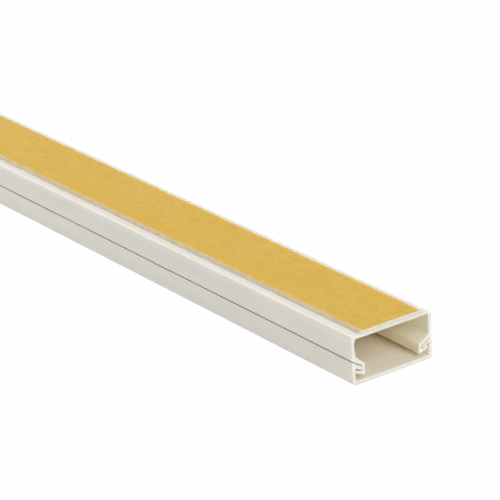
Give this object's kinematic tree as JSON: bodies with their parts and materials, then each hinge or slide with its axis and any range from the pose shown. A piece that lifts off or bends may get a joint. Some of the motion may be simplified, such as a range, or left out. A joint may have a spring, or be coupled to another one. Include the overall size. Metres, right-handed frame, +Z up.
{
  "type": "cord cover raceway",
  "caption": "Straight length of latching plastic cable raceway: a channel with hooked legs, a hooked cover that slides along it, and a foam adhesive strip with a paper liner on its back.",
  "frame": {"origin": "middle of the footprint on the floor, under the middle of the cover's plate", "axes": "+X along the raceway, towards the cut end that faces the picture's viewer; +Y across it; +Z up, from the cover's plate to the adhesive back"},
  "size_m": [0.4, 0.0322, 0.0177],
  "materials": {
    "base_pvc": "satin",
    "cover_pvc": "satin",
    "tape_foam": "matte",
    "liner_paper": "satin"
  },
  "bodies": {
    "base": {"base_channel": "base_pvc", "foam_tape": "tape_foam", "release_liner": "liner_paper"},
    "cover": {"snap_cover": "cover_pvc"}
  },
  "joints": [
    {"name": "cover_slide", "type": "slide", "parent": "base", "child": "cover", "axis": [1, 0, 0], "range_m": [0, 0.41]}
  ]
}
